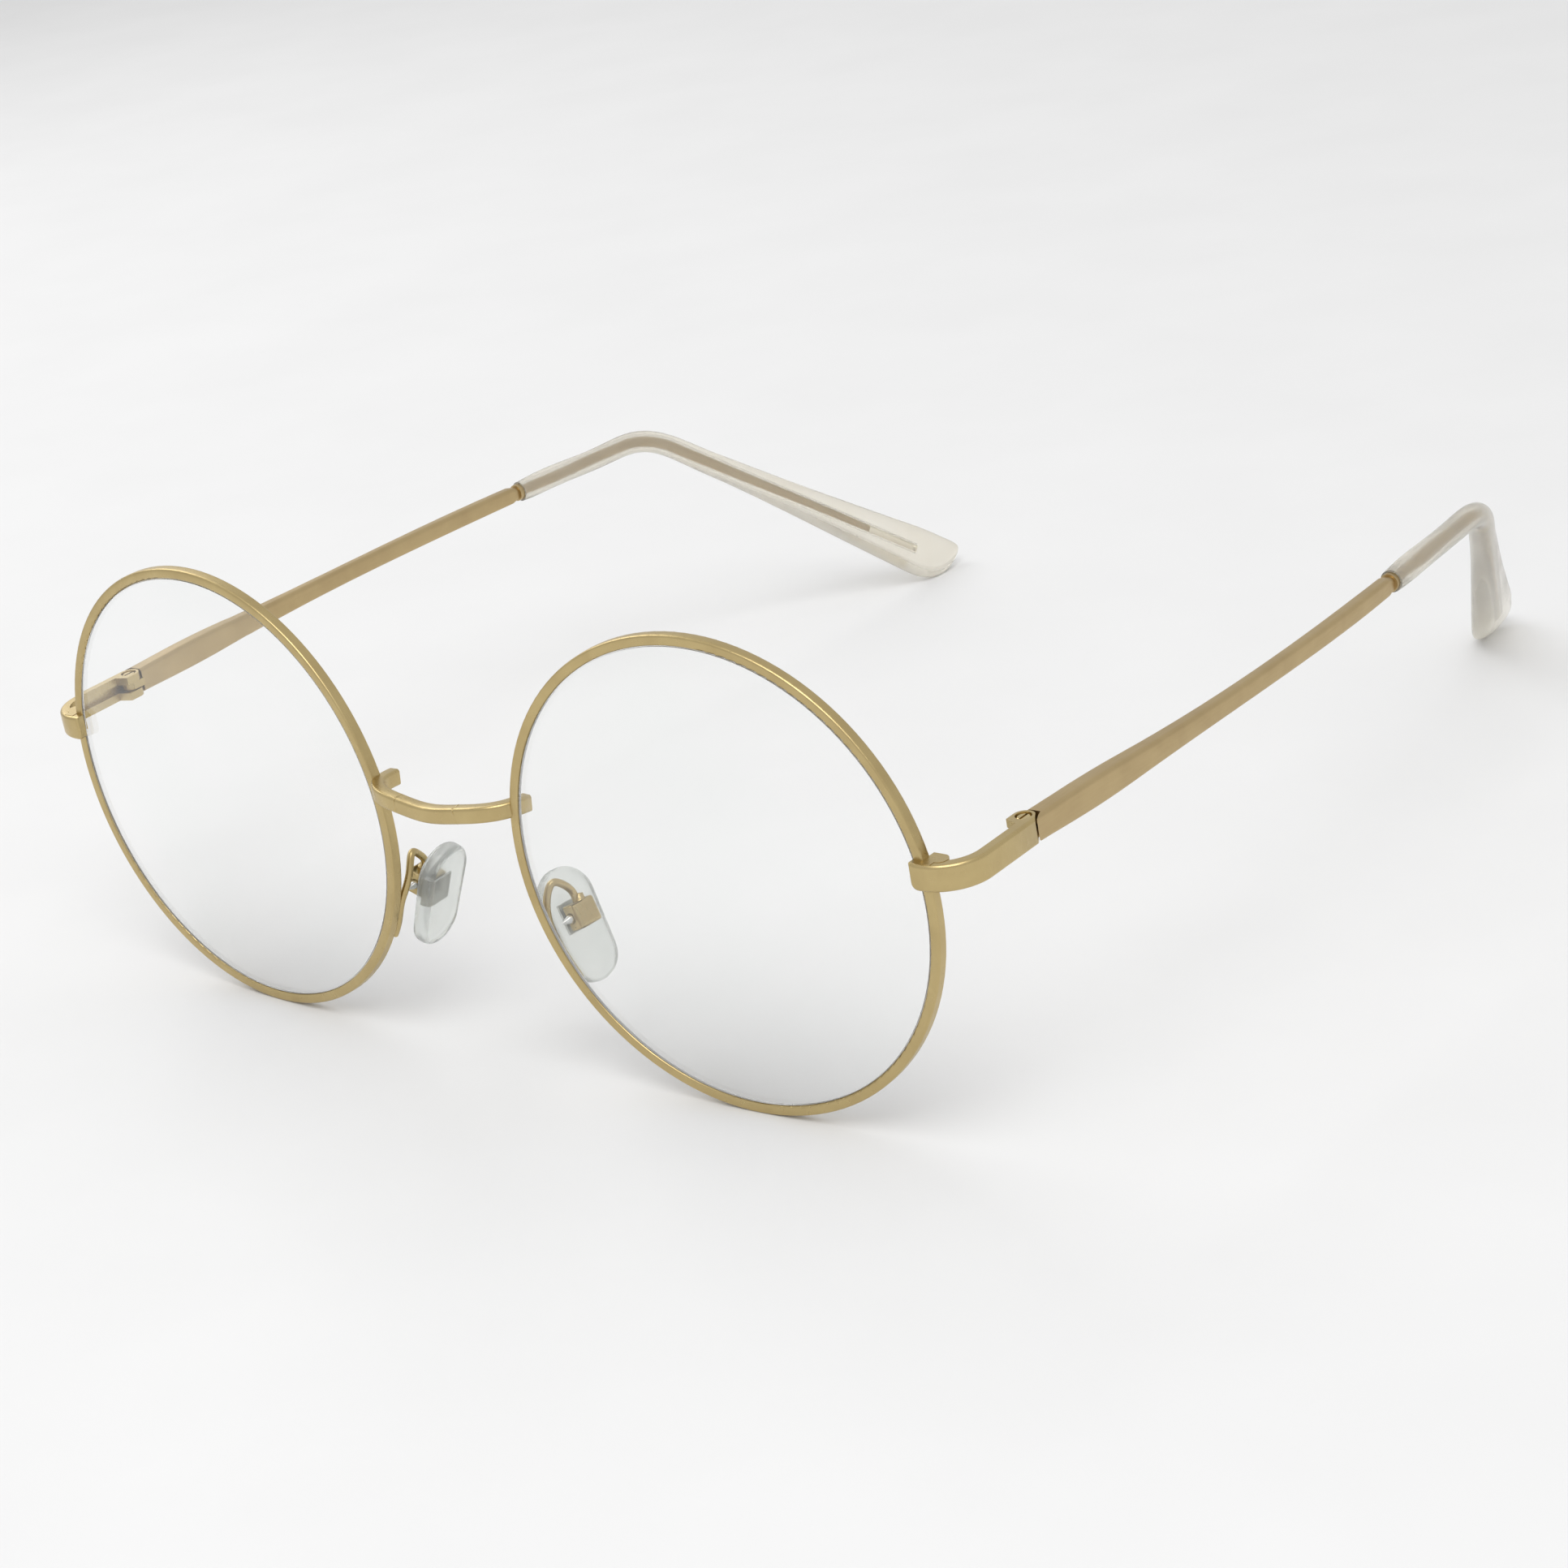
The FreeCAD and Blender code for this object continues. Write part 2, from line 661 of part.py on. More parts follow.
def ear_path(name, before, after):
    """The ear bend's path: straight, an arc and straight again, as a sketch in the ear frame."""
    sketch = place(doc.addObject("Sketcher::SketchObject", name), ear_frame())
    angle = math.radians(size("bend_angle"))
    run, radius, length = size("bend_start"), size("bend_radius"), size(after)
    first = vec(run, 0, 0)
    last = vec(run + radius * math.sin(angle), radius * (1 - math.cos(angle)), 0)
    end = last + vec(math.cos(angle), math.sin(angle), 0) * length
    sketch.addGeometry(Part.LineSegment(vec(-size(before), 0, 0), first))
    ring = Part.Circle(vec(run, radius, 0), vec(0, 0, 1), radius)
    sketch.addGeometry(Part.ArcOfCircle(ring, -math.pi / 2, angle - math.pi / 2))
    sketch.addGeometry(Part.LineSegment(last, end))
    lock(sketch, 0, 1, "-(" + before + ")", "0")
    lock(sketch, 0, 2, "bend_start", "0")
    sketch.addConstraint(Sketcher.Constraint("Tangent", 0, 2, 1, 1))
    sketch.addConstraint(Sketcher.Constraint("Tangent", 1, 2, 2, 1))
    radius_at = sketch.addConstraint(Sketcher.Constraint("Radius", 1, radius))
    angle_at = sketch.addConstraint(Sketcher.Constraint("Angle", 2, angle))
    length_at = sketch.addConstraint(Sketcher.Constraint("Distance", 2, length))
    sketch.setExpression("Constraints[%d]" % radius_at, bound("bend_radius"))
    sketch.setExpression("Constraints[%d]" % angle_at, bound("bend_angle"))
    sketch.setExpression("Constraints[%d]" % length_at, bound(after))
    return sketch


def ear_station(distance, offset=0.0):
    """The frame across the ear path at a distance from the mouth: z on along it, x inside the bend."""
    angle_end = math.radians(size("bend_angle"))
    run, radius = size("bend_start"), size("bend_radius")
    turn = min(max((distance - run) / radius, 0.0), angle_end)
    if distance <= run:
        point = vec(distance, 0, 0)
    else:
        point = vec(run + radius * math.sin(turn), radius * (1 - math.cos(turn)), 0)
        rest = max(distance - run - radius * angle_end, 0.0)
        point += vec(math.cos(turn), math.sin(turn), 0) * rest
    inside = vec(-math.sin(turn), math.cos(turn), 0)
    along = vec(math.cos(turn), math.sin(turn), 0)
    point += inside * offset
    rotation = FreeCAD.Rotation(inside, along.cross(inside), along, "ZXY")
    return ear_frame().multiply(FreeCAD.Placement(point, rotation))


def ring_at(name, radius, distance):
    ring = doc.addObject("Part::Circle", name)
    bind(ring, Radius=radius)
    return place(ring, ear_station(distance))


def swept(name, ring, spine, edges):
    sweep = doc.addObject("Part::Sweep", name)
    sweep.Sections = [ring]
    sweep.Spine = (spine, ["Edge%d" % (i + 1) for i in range(edges)])
    sweep.Solid = True
    sweep.Frenet = False
    doc.recompute()
    return sweep


def make_temple():
    arm = make_temple_arm()
    reach = size("temple_length_to_mouth") * 0.05
    spine = ear_path("CorePath", "temple_length_to_mouth * 0.05", "core_straight")
    core = swept("CoreWire", ring_at("CoreRing", "neck_r", -reach), spine, 3)
    collar = doc.addObject("Part::Cylinder", "TempleCollar")
    bind(collar, Radius="collar_r", Height="collar_length")
    place(collar, ear_station(-size("collar_length")))
    return node(fuse([arm, core, collar], "TempleWithCore"), "temple_left")


# Distance from the mouth, half width across the bend's plane, half thickness, and sideways shift.
TIP_SECTIONS = [
    (0.0, 1.32, 1.30, 0.0),
    (1.2, 1.40, 1.38, 0.0),
    (10.0, 1.42, 1.40, 0.0),
    (19.0, 1.45, 1.43, 0.0),
    (22.0, 1.48, 1.46, 0.0),
    (25.2, 1.50, 1.48, 0.0),
    (28.3, 1.55, 1.50, 0.0),
    (36.0, 1.75, 1.52, 0.0),
    (46.0, 2.25, 1.52, 0.0),
    (56.0, 2.95, 1.50, 0.05),
    (65.0, 3.60, 1.45, 0.05),
    (70.5, 3.90, 1.38, -0.05),
    (73.6, 3.35, 1.22, -0.6),
    (75.8, 2.15, 0.95, -1.75),
    (76.8, 0.90, 0.50, -2.8),
]


def make_tip():
    sections = []
    for i, (distance, half_width, half_thickness, shift) in enumerate(TIP_SECTIONS):
        ring = doc.addObject("Part::Ellipse", "TipSection%d" % i)
        ring.MajorRadius = half_width
        ring.MinorRadius = half_thickness
        sections.append(place(ring, ear_station(distance, shift)))
    loft = doc.addObject("Part::Loft", "TipLoft")
    loft.Sections = sections
    loft.Solid = True
    loft.Ruled = False
    spine = ear_path("BorePath", "1", "bore_straight")
    bore = swept("TipBore", ring_at("BoreRing", "neck_r + bore_clearance", -1.0), spine, 3)
    return node(cut(loft, bore, "TipSleeve"), "temple_tip_left")


# Bridge

# The bridge's centre line from its left stub, behind the rim, to its middle.
BRIDGE_PATH = [
    (10.15, 1.20, 4.50),
    (9.98, -0.20, 4.65),
    (9.35, -2.00, 4.75),
    (7.70, -3.35, 4.70),
    (4.40, -4.00, 4.35),
    (0.00, -4.20, 3.95),
]


def spline(name, points):
    """A spine through the points, as a smooth curve."""
    curve = Part.BSplineCurve()
    curve.interpolate([vec(*p) for p in points])
    feature = doc.addObject("Part::Feature", name)
    feature.Shape = Part.Wire([curve.toShape()])
    place(feature)
    return feature, curve


def across(curve):
    """The frame across a curve's start: z on along it, y as near to up as may be."""
    along = curve.tangent(curve.FirstParameter)[0]
    side = vec(0, 0, 1).cross(along)
    rotation = FreeCAD.Rotation(side, along.cross(side), along, "ZYX")
    return FreeCAD.Placement(curve.value(curve.FirstParameter), rotation)


def make_bridge(rim, other_rim):
    mirrored = [(-x, y, z) for x, y, z in BRIDGE_PATH[-2::-1]]
    spine, curve = spline("BridgeLine", BRIDGE_PATH + mirrored)
    section = place(doc.addObject("Sketcher::SketchObject", "BridgeSection"), across(curve))
    rounded_rectangle(
        section, "bridge_half_depth * 2", "bridge_half_height * 2", "bridge_corner_r"
    )
    doc.recompute()
    bar = swept("BridgeBar", section, spine, 1)
    return node(cut(cut(bar, rim, "BridgeByLeftRim"), other_rim, "BridgeBetweenRims"), "bridge")


# Nose pads and their arms

def pad_frame():
    """The left pad's frame, on its screw: x outwards, y back along the screw, z up the pad."""
    turn = FreeCAD.Rotation(vec(0, 0, 1), -size("pad_splay"))
    turn = turn.multiply(FreeCAD.Rotation(vec(0, 1, 0), -size("pad_lean")))
    turn = turn.multiply(FreeCAD.Rotation(vec(1, 0, 0), -size("pad_rake")))
    at = vec(size("pad_centre_x"), size("pad_centre_y"), size("pad_centre_z"))
    return FreeCAD.Placement(at, turn)


def make_pad_box():
    body = new_body("PadBoxBody", pad_frame())
    plan = new_sketch(body, "PadBoxPlan")
    polygon(plan, [
        ("-box_front", "-box_width / 2"),
        ("box_back", "-box_width / 2"),
        ("box_back", "box_width / 2"),
        ("-box_front", "box_width / 2"),
    ])
    pad(body, "PadBoxBlock", plan, "box_height")

    def outer_edge(edge):
        return edge.CenterOfMass.x > size("box_back") - 0.01

    rounded(body, "PadBoxSoftEdges", "box_round", outer_edge)
    slot = new_sketch(body, "PadBoxSlotPlan")
    polygon(slot, [
        ("-box_front - 1", "-box_slot_width / 2"),
        ("-box_front + box_slot_depth", "-box_slot_width / 2"),
        ("-box_front + box_slot_depth", "box_slot_width / 2"),
        ("-box_front - 1", "box_slot_width / 2"),
    ])
    pocket(body, "PadBoxSlot", slot, "box_slot_height")
    bore = circle(new_sketch(body, "PadBoxBorePlan", "XZ_Plane"), "pad_screw_bore_r")
    pocket(body, "PadBoxBore", bore, "box_width * 2")
    return node(body, "pad_box_left")


def make_pad_arm(rim, box):
    rear = size("rim_depth / 2 + pad_arm_r - 0.12")
    reach = size("rim_outer_r - 0.3")
    foot = []
    for angle in (34, 28.5, 23):
        a = math.radians(angle)
        point = vec(-reach * math.cos(a), rear, -reach * math.sin(a))
        foot.append(tuple(rim_frame().multVec(point)))
    loop = [(10.6, 0.75, -6.7), (10.85, 1.9, -5.1), (11.2, 3.1, -5.9)]
    into_box = [tuple(pad_frame().multVec(vec(0.2, 0, z))) for z in (2.5, 1.38)]
    spine, curve = spline("PadArmLine", foot + loop + into_box)
    ring = doc.addObject("Part::Circle", "PadArmRing")
    bind(ring, Radius="pad_arm_r")
    place(ring, across(curve))
    wire = swept("PadArmWire", ring, spine, 1)
    return node(cut(cut(wire, rim, "PadArmOnRim"), box, "PadArm"), "pad_arm_left")


def make_pad_insert():
    """The metal carrier moulded into a pad, with the boss that its screw passes through."""
    body = new_body("PadInsertBody", pad_frame())
    plate_back = "-pad_back_gap - 0.45"
    plate = new_sketch(body, "PadPlatePlan")
    polygon(plate, [
        (plate_back, "-insert_width / 2"),
        (plate_back + " - insert_thickness", "-insert_width / 2"),
        (plate_back + " - insert_thickness", "insert_width / 2"),
        (plate_back, "insert_width / 2"),
    ])
    pad(body, "PadPlate", plate, "insert_height")
    boss = new_sketch(body, "PadBossPlan", "XZ_Plane")
    outline(boss, (plate_back + " - 0.1", "-boss_r"), [
        ("0", "-boss_r"),
        ("0", "boss_r", "0", "0", 1),
        (plate_back + " - 0.1", "boss_r"),
        (plate_back + " - 0.1", "-boss_r"),
    ])
    pad(body, "PadBoss", boss, "boss_width")
    bore = circle(new_sketch(body, "PadBossBorePlan", "XZ_Plane"), "boss_bore_r")
    pocket(body, "PadBossBore", bore, "boss_width * 3")
    return node(body, "pad_insert_left")


def make_nose_pad(insert):
    """A clear teardrop pad, with a pocket that holds the carrier."""
    body = new_body("NosePadBody", pad_frame())
    offset = turned(0, vec(0, 0, 1), vec(0, 0, 0))
    offset.Base = vec(
        size("pad_shift_back"), -size("pad_shift_down"), -size("pad_back_gap + pad_thickness / 2")
    )
    face = new_sketch(body, "NosePadOutline", "YZ_Plane", offset)
    half = size("pad_centres / 2")
    top_r, low_r = size("pad_top_r"), size("pad_bottom_r")
    lean = math.asin((top_r - low_r) / size("pad_centres"))
    rings = ((half, top_r, lean, math.pi - lean), (-half, low_r, math.pi - lean, 2 * math.pi + lean))
    arcs = []
    for centre_z, radius, first, last in rings:
        ring = Part.Circle(vec(0, centre_z, 0), vec(0, 0, 1), radius)
        arcs.append(face.addGeometry(Part.ArcOfCircle(ring, first, last)))

    def on_ring(ring, angle):
        return vec(0, ring[0], 0) + vec(math.cos(angle), math.sin(angle), 0) * ring[1]

    left = (on_ring(rings[0], math.pi - lean), on_ring(rings[1], math.pi - lean))
    right = (on_ring(rings[1], lean), on_ring(rings[0], lean))
    sides = [face.addGeometry(Part.LineSegment(*pair)) for pair in (left, right)]
    face.addConstraint(Sketcher.Constraint("Tangent", arcs[0], 2, sides[0], 1))
    face.addConstraint(Sketcher.Constraint("Tangent", sides[0], 2, arcs[1], 1))
    face.addConstraint(Sketcher.Constraint("Tangent", arcs[1], 2, sides[1], 1))
    face.addConstraint(Sketcher.Constraint("Tangent", sides[1], 2, arcs[0], 1))
    lock(face, arcs[0], 3, "0", "pad_centres / 2")
    lock(face, arcs[1], 3, "0", "-pad_centres / 2")
    for arc, radius in zip(arcs, ("pad_top_r", "pad_bottom_r")):
        index = face.addConstraint(Sketcher.Constraint("Radius", arc, size(radius)))
        face.setExpression("Constraints[%d]" % index, bound(radius))
    pad(body, "NosePadDisc", face, "pad_thickness")
    rounded(body, "NosePadSoftEdges", "pad_edge_round", lambda edge: edge.Length > 1)
    return node(cut(body, insert, "NosePad"), "nose_pad_left")


def make_pad_screw():
    at = vec(0, size("box_width / 2"), 0)
    placement = pad_frame().multiply(FreeCAD.Placement(at, FreeCAD.Rotation()))
    body = make_screw(
        "PadScrew", placement, "pad_head_r", "pad_head_height",
        "pad_shank_r", "box_width + 0.2", "pad_point",
    )
    return node(body, "pad_screw_left")


# Build the left side, then the right side as its mirror image

def mirror(obj, label):
    copy = doc.addObject("Part::Mirroring", obj.Name + "Mirrored")
    copy.Source = obj
    copy.Normal = vec(1, 0, 0)
    return node(copy, label)


def build():
    rim = make_rim()
    lens = make_lens()
    endpiece = make_endpiece(rim, lens)
    make_closing(rim, endpiece)
    make_hinge_screw()
    make_knuckle()
    make_temple()
    make_tip()
    box = make_pad_box()
    make_pad_arm(rim, box)
    insert = make_pad_insert()
    make_nose_pad(insert)
    make_pad_screw()
    for label in [name for name in nodes if name.endswith("_left")]:
        mirror(nodes[label], label.replace("_left", "_right"))
    make_bridge(rim, nodes["rim_right"])
    doc.recompute()


# Standing pose

def lowest(labels, tilt):
    turn = turned(tilt, vec(1, 0, 0)).toMatrix()
    return min(nodes[n].Shape.transformGeometry(turn).optimalBoundingBox().ZMin for n in labels)


def standing_placement():
    """Tilt until rims and ear tips touch one level, then centre the box over the origin."""
    low, high = 0.0, 4.0
    for _ in range(12):
        tilt = (low + high) / 2
        if lowest(["temple_tip_left"], tilt) < lowest(["rim_left"], tilt):
            low = tilt
        else:
            high = tilt
    turn = turned(tilt, vec(1, 0, 0)).toMatrix()
    whole = Part.makeCompound([n.Shape for n in nodes.values()]).transformGeometry(turn)
    box = whole.optimalBoundingBox()
    shift = turned(0, vec(0, 0, 1), vec(0, -box.Center.y, -box.ZMin))
    return shift.multiply(turned(tilt, vec(1, 0, 0)))


def stand():
    standing = standing_placement()
    for obj, local in placed:
        obj.Placement = standing.multiply(local)
    doc.recompute()
    return standing


def check():
    for obj in doc.Objects:
        if "Invalid" in obj.State or "Error" in obj.State:
            raise RuntimeError("%s: %s" % (obj.Name, obj.State))
    for label, obj in nodes.items():
        shape = obj.Shape
        if shape.isNull() or not shape.isValid() or not shape.Solids:
            raise RuntimeError("%s has no valid solid" % label)


def export():
    os.makedirs("parts", exist_ok=True)
    for label, obj in nodes.items():
        obj.Shape.exportStep("parts/%s.step" % label)


build()
standing = stand()
check()
export()
print("standing", standing)
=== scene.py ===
import json
import math

import bpy
from mathutils import Matrix, Vector


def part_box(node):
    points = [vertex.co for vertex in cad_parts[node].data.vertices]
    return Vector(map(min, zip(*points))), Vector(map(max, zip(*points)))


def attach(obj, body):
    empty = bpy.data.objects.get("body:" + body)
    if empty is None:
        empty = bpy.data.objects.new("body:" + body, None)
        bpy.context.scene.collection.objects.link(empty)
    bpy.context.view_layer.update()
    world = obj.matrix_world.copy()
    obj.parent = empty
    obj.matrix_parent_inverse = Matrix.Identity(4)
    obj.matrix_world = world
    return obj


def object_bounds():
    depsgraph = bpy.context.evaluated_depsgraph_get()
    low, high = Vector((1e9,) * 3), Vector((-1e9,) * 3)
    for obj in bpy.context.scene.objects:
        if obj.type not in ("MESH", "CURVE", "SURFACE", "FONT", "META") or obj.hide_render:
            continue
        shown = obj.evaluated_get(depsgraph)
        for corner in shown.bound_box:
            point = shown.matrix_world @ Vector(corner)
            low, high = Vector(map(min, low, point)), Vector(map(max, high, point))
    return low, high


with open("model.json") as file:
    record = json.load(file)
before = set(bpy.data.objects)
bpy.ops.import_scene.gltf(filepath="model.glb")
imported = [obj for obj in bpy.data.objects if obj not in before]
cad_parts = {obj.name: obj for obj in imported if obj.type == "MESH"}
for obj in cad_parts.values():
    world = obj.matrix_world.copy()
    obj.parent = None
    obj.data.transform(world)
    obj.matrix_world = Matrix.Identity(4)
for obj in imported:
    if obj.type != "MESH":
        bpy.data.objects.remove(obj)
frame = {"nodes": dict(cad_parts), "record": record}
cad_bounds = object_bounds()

SIDES = ("left", "right")
MM = 0.001
NOISE_LOW, NOISE_HIGH = 0.3, 0.7    # the range that a noise texture mostly stays in
CLOUD_SCALE = 260
BUMP_HEIGHT = 0.02 * MM
LENS_TINT = [(0.975, 0.985, 0.98), (0.99, 0.99, 0.99)]
GROUND_TURN, CLEAR_TURN = 0.80, 0.84    # how far along Y a lens's normal points
GROUND_ROUGHNESS = 0.45
GROUND_TRANSMISSION = 0.35
WELD_DISTANCE = 0.002 * MM
SHARP_ANGLE = math.radians(32)
BEVEL_ANGLE = math.radians(35)


# Node trees

class Tree:
    """A material's nodes: the shader, and coordinates that stay on the object as it moves."""

    def __init__(self, name):
        self.material = bpy.data.materials.new(name)
        self.material.use_nodes = True
        self.nodes = self.material.node_tree.nodes
        self.links = self.material.node_tree.links
        self.shader = self.nodes["Principled BSDF"]
        self.place = self.add("ShaderNodeTexCoord").outputs["Object"]

    def add(self, kind, **values):
        node = self.nodes.new(kind)
        for key, value in values.items():
            setattr(node, key, value)
        return node

    def set(self, **values):
        for key, value in values.items():
            self.shader.inputs[key.replace("_", " ")].default_value = value

    def stretched(self, scale):
        mapping = self.add("ShaderNodeMapping")
        mapping.inputs["Scale"].default_value = scale
        self.links.new(self.place, mapping.inputs["Vector"])
        return mapping.outputs["Vector"]

    def noise(self, scale, detail=3.0, vector=None, distortion=0.0):
        noise = self.add("ShaderNodeTexNoise")
        noise.inputs["Scale"].default_value = scale
        noise.inputs["Detail"].default_value = detail
        noise.inputs["Distortion"].default_value = distortion
        self.links.new(vector or self.place, noise.inputs["Vector"])
        return noise.outputs["Fac"]

    def ramp(self, factor, stops):
        ramp = self.add("ShaderNodeValToRGB")
        elements = ramp.color_ramp.elements
        while len(elements) < len(stops):
            elements.new(0.5)
        for element, (position, colour) in zip(elements, stops):
            element.position = position
            element.color = (*colour, 1)
        self.links.new(factor, ramp.inputs["Fac"])
        return ramp.outputs["Color"]

    def drift(self, factor, colours):
        """A colour that goes from the first to the second with a noise."""
        return self.ramp(factor, list(zip((NOISE_LOW, NOISE_HIGH), colours)))

    def span(self, factor, low, high, start=NOISE_LOW, end=NOISE_HIGH):
        span = self.add("ShaderNodeMapRange")
        span.inputs["From Min"].default_value = start
        span.inputs["From Max"].default_value = end
        span.inputs["To Min"].default_value = low
        span.inputs["To Max"].default_value = high
        self.links.new(factor, span.inputs["Value"])
        return span.outputs["Result"]

    def feed(self, output, name):
        self.links.new(output, self.shader.inputs[name])

    def bump(self, height, strength):
        bump = self.add("ShaderNodeBump")
        bump.inputs["Strength"].default_value = strength
        bump.inputs["Distance"].default_value = BUMP_HEIGHT
        self.links.new(height, bump.inputs["Height"])
        self.feed(bump.outputs["Normal"], "Normal")


def metal(name, colours, roughness, grain, bump_strength):
    """Plated metal: cloudy tone, fine brushed grain, and a little wear in the gloss."""
    tree = Tree(name)
    tree.set(Metallic=1.0)
    clouds = tree.noise(CLOUD_SCALE, 4, distortion=0.4)
    tree.feed(tree.drift(clouds, colours), "Base Color")
    brushed = tree.noise(1.0, 3, tree.stretched(grain))
    tree.feed(tree.span(brushed, *roughness), "Roughness")
    tree.bump(brushed, bump_strength)
    return tree.material


def clear(name, colours, roughness, ior, transmission, scale, bump_strength):
    """A clear or milky solid: its tint and haze drift slowly across it."""
    tree = Tree(name)
    tree.set(IOR=ior, Transmission_Weight=transmission)
    haze = tree.noise(scale, 2)
    tree.feed(tree.drift(haze, colours), "Base Color")
    tree.feed(tree.span(haze, *roughness), "Roughness")
    tree.bump(tree.noise(scale * 6, 2), bump_strength)
    return tree.material


def lens_material(name):
    """Polished lens: clear faces, and a frosted light rim where the edge is ground."""
    tree = Tree(name)
    tree.set(IOR=1.5, Specular_IOR_Level=0.4)
    normal = tree.add("ShaderNodeNewGeometry").outputs["Normal"]
    facing = tree.add("ShaderNodeVectorMath", operation="DOT_PRODUCT")
    facing.inputs[1].default_value = (0, 1, 0)
    tree.links.new(normal, facing.inputs[0])
    either_way = tree.add("ShaderNodeMath", operation="ABSOLUTE")
    tree.links.new(facing.outputs["Value"], either_way.inputs[0])
    polished = tree.span(either_way.outputs["Value"], 0.0, 1.0, GROUND_TURN, CLEAR_TURN)
    tree.feed(tree.drift(tree.noise(60, 2), LENS_TINT), "Base Color")
    tree.feed(tree.span(polished, GROUND_ROUGHNESS, 0.0, 0.0, 1.0), "Roughness")
    tree.feed(tree.span(polished, GROUND_TRANSMISSION, 1.0, 0.0, 1.0), "Transmission Weight")
    return tree.material


GOLD = metal(
    "satin_gold",
    [(0.50, 0.385, 0.185), (0.56, 0.44, 0.215)],
    roughness=(0.26, 0.38), grain=(900, 5200, 900), bump_strength=0.06,
)
GOLD_ARM = metal(
    "satin_gold_arm",
    [(0.48, 0.36, 0.19), (0.53, 0.405, 0.215)],
    roughness=(0.32, 0.44), grain=(5200, 260, 5200), bump_strength=0.06,
)
GOLD_SCREW = metal(
    "gold_screw_head",
    [(0.50, 0.38, 0.17), (0.66, 0.53, 0.27)],
    roughness=(0.18, 0.30), grain=(3000, 3000, 900), bump_strength=0.10,
)
STEEL = metal(
    "turned_steel",
    [(0.56, 0.56, 0.55), (0.80, 0.80, 0.79)],
    roughness=(0.16, 0.28), grain=(4000, 1200, 4000), bump_strength=0.10,
)
NICKEL = metal(
    "dull_nickel",
    [(0.50, 0.47, 0.42), (0.66, 0.62, 0.54)],
    roughness=(0.32, 0.48), grain=(2600, 2600, 2600), bump_strength=0.20,
)
LENS = lens_material("clear_lens_glass")
PAD = clear(
    "clear_pad_plastic",
    [(0.86, 0.89, 0.86), (0.93, 0.95, 0.92)],
    roughness=(0.14, 0.26), ior=1.45, transmission=0.86, scale=420, bump_strength=0.08,
)
TIP = clear(
    "milky_tip_acetate",
    [(0.92, 0.875, 0.77), (0.955, 0.92, 0.83)],
    roughness=(0.12, 0.22), ior=1.44, transmission=0.84, scale=180, bump_strength=0.05,
)

SLOT_MATERIALS = {
    "gold_metal": GOLD,
    "gold_screw": GOLD_SCREW,
    "steel_screw": STEEL,
    "pad_carrier": NICKEL,
    "clear_lens": LENS,
    "clear_pad": PAD,
    "milky_tip": TIP,
}


# CAD nodes

def dress(node, material):
    mesh = frame["nodes"][node].data
    mesh.materials.clear()
    mesh.materials.append(material)


def shading_nodes():
    """A node group that welds a CAD mesh's faces together and keeps only its sharp edges sharp."""
    group = bpy.data.node_groups.new("weld_and_shade", "GeometryNodeTree")
    group.interface.new_socket("Geometry", in_out="INPUT", socket_type="NodeSocketGeometry")
    group.interface.new_socket("Geometry", in_out="OUTPUT", socket_type="NodeSocketGeometry")
    source = group.nodes.new("NodeGroupInput")
    result = group.nodes.new("NodeGroupOutput")
    weld = group.nodes.new("GeometryNodeMergeByDistance")
    weld.inputs["Distance"].default_value = WELD_DISTANCE
    edge = group.nodes.new("GeometryNodeInputMeshEdgeAngle")
    sharp = group.nodes.new("FunctionNodeCompare")
    sharp.data_type = "FLOAT"
    sharp.operation = "GREATER_THAN"
    sharp.inputs["B"].default_value = SHARP_ANGLE
    normal = group.nodes.new("GeometryNodeSetMeshNormal")
    normal.mode = "SHARPNESS"
    link = group.links.new
    link(source.outputs["Geometry"], weld.inputs["Geometry"])
    link(weld.outputs["Geometry"], normal.inputs["Mesh"])
    link(edge.outputs["Unsigned Angle"], sharp.inputs["A"])
    link(sharp.outputs["Result"], normal.inputs["Edge Sharpness"])
    link(normal.outputs["Mesh"], result.inputs["Geometry"])
    return group


def reshade_nodes():
    group = shading_nodes()
    for piece in frame["nodes"].values():
        piece.modifiers.new("Shading", "NODES").node_group = group


def soften(node, width, segments=3):
    """Rounds a node's sharp edges with a modifier. The width is in millimetres."""
    bevel = frame["nodes"][node].modifiers.new("SoftEdges", "BEVEL")
    bevel.width = width * MM
    bevel.segments = segments
    bevel.limit_method = "ANGLE"
    bevel.angle_limit = BEVEL_ANGLE
    bevel.harden_normals = True


def dress_nodes():
    for part in frame["record"]["subparts"]:
        material = SLOT_MATERIALS[part["material_slot"]]
        if part["node"].startswith("temple_") and material is GOLD:
            material = GOLD_ARM
        dress(part["node"], material)


EDGE_WIDTHS = {
    "closing_block_upper_": 0.08,
    "closing_block_lower_": 0.08,
    "hinge_knuckle_": 0.06,
    "hinge_screw_": 0.05,
    "pad_screw_": 0.04,
}

dress_nodes()
reshade_nodes()
for side in SIDES:
    for name, width in EDGE_WIDTHS.items():
        soften(name + side, width)
    soften("pad_box_" + side, 0.32, segments=4)


# Braze metal, which the CAD leaves out: a flare where each pad arm runs into its box

# The flare's radius and its height along the wire from the wire's end, in millimetres.
FLARE_ROWS = [
    (0.80, -0.20),
    (0.76, -0.02),
    (0.62, 0.12),
    (0.53, 0.30),
    (0.47, 0.52),
    (0.43, 0.70),
]
FLARE_STEPS = 32
WIRE_END_POINTS = 24


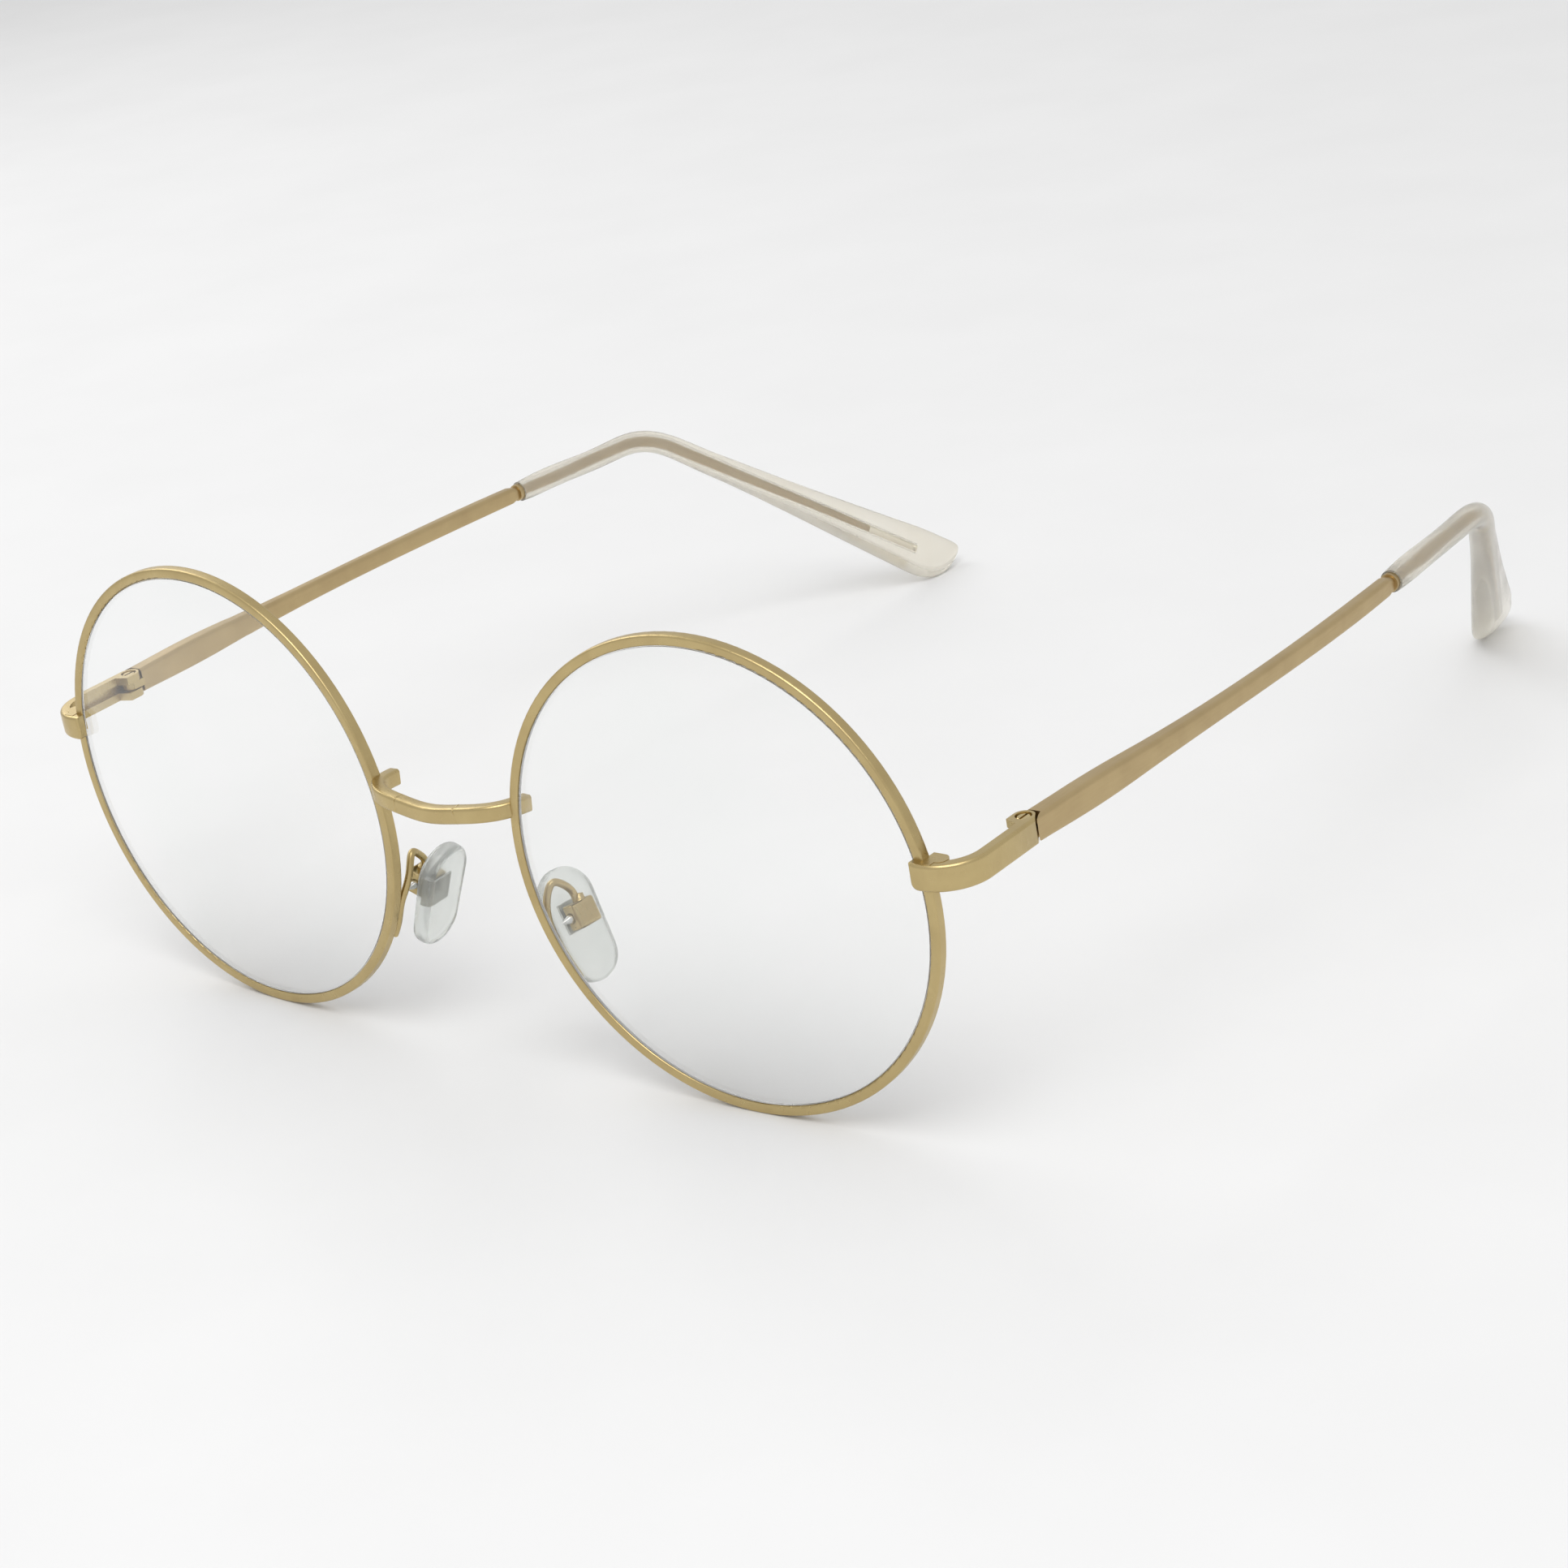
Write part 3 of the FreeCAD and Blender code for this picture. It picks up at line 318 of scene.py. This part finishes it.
def wire_end(side):
    """The middle of the wire's end, and the direction from the box to it."""
    low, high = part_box("pad_box_" + side)
    middle = (low + high) / 2
    points = [Vector(v.co) for v in frame["nodes"]["pad_arm_" + side].data.vertices]
    near = sorted(points, key=lambda p: (p - middle).length)[:WIRE_END_POINTS]
    end = sum(near, Vector()) / len(near)
    return end, (end - middle).normalized()


def flare_faces():
    rows, steps = len(FLARE_ROWS), FLARE_STEPS
    faces = []
    for row in range(rows - 1):
        for step in range(steps):
            a = row * steps + step
            b = row * steps + (step + 1) % steps
            faces.append((a, b, b + steps, a + steps))
    faces.append(tuple(range(steps))[::-1])
    faces.append(tuple(range((rows - 1) * steps, rows * steps)))
    return faces


def make_flare(name, side):
    end, axis = wire_end(side)
    level = axis.cross(Vector((0, 1, 0))).normalized()
    across = axis.cross(level)
    verts = []
    for radius, height in FLARE_ROWS:
        for step in range(FLARE_STEPS):
            turn = 2 * math.pi * step / FLARE_STEPS
            ring = level * math.cos(turn) + across * math.sin(turn)
            verts.append(end + ring * radius * MM + axis * height * MM)
    mesh = bpy.data.meshes.new(name)
    mesh.from_pydata(verts, [], flare_faces())
    mesh.shade_smooth()
    mesh.materials.append(GOLD)
    piece = bpy.data.objects.new(name, mesh)
    bpy.context.scene.collection.objects.link(piece)
    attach(piece, "front_frame")


for side in SIDES:
    make_flare("pad_arm_braze_" + side, side)


# Floor, light and camera

FLOOR_HALF = 3.0
WORLD_STRENGTH = 0.72
KEY_LIGHT = {"offset": (0.25, -0.35, 0.75), "size": (0.6, 0.6), "power": 3.2}
FILL_LIGHT = {"offset": (-0.6, 0.1, 0.45), "size": (0.5, 0.4), "power": 1.2}


def floor_material():
    tree = Tree("pale_floor")
    tone = tree.drift(tree.noise(30, 3), [(0.79, 0.79, 0.79), (0.81, 0.81, 0.81)])
    tree.feed(tone, "Base Color")
    tree.set(Roughness=0.6, Specular_IOR_Level=0.2)
    return tree.material


def make_floor(half=FLOOR_HALF):
    mesh = bpy.data.meshes.new("floor")
    corners = [(-half, -half, 0), (half, -half, 0), (half, half, 0), (-half, half, 0)]
    mesh.from_pydata(corners, [], [(0, 1, 2, 3)])
    floor = bpy.data.objects.new("floor", mesh)
    bpy.context.scene.collection.objects.link(floor)
    mesh.materials.append(floor_material())


def area_light(name, aim, offset, size, power):
    lamp = bpy.data.lights.new(name, "AREA")
    lamp.shape = "RECTANGLE"
    lamp.size, lamp.size_y = size
    lamp.energy = power
    light = bpy.data.objects.new(name, lamp)
    bpy.context.scene.collection.objects.link(light)
    light.location = aim + Vector(offset)
    light.rotation_euler = (aim - light.location).to_track_quat("-Z", "Y").to_euler()


def make_light():
    world = bpy.data.worlds.new("studio")
    bpy.context.scene.world = world
    world.use_nodes = True
    background = world.node_tree.nodes["Background"].inputs
    background["Color"].default_value = (1, 1, 1, 1)
    background["Strength"].default_value = WORLD_STRENGTH
    bpy.context.scene.view_settings.view_transform = "Standard"
    middle = (Vector(cad_bounds[0]) + Vector(cad_bounds[1])) / 2
    area_light("key_light", middle, **KEY_LIGHT)
    area_light("fill_light", middle, **FILL_LIGHT)


CAMERA_AZIMUTH = math.radians(41.95)
CAMERA_ELEVATION = math.radians(21.94)
CAMERA_ROLL = math.radians(9.36)
CAMERA_DISTANCE = 0.3526
CAMERA_LENS = 82.66
CAMERA_TARGET = (0.708, 0.590, 0.731)    # shares of the left lens's box


def make_camera():
    low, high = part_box("lens_left")
    target = Vector([a + share * (b - a) for a, b, share in zip(low, high, CAMERA_TARGET)])
    back = Vector((
        math.sin(CAMERA_AZIMUTH) * math.cos(CAMERA_ELEVATION),
        -math.cos(CAMERA_AZIMUTH) * math.cos(CAMERA_ELEVATION),
        math.sin(CAMERA_ELEVATION),
    ))
    level = Vector((math.cos(CAMERA_AZIMUTH), math.sin(CAMERA_AZIMUTH), 0))
    above = back.cross(level)
    right = level * math.cos(CAMERA_ROLL) - above * math.sin(CAMERA_ROLL)
    up = above * math.cos(CAMERA_ROLL) + level * math.sin(CAMERA_ROLL)
    data = bpy.data.cameras.new("camera")
    data.lens = CAMERA_LENS
    data.sensor_width = 36
    data.clip_start = 0.01
    camera = bpy.data.objects.new("camera", data)
    bpy.context.scene.collection.objects.link(camera)
    matrix = Matrix((right, up, back)).transposed().to_4x4()
    matrix.translation = target + back * CAMERA_DISTANCE
    camera.matrix_world = matrix
    bpy.context.scene.camera = camera


make_floor()
make_light()
make_camera()
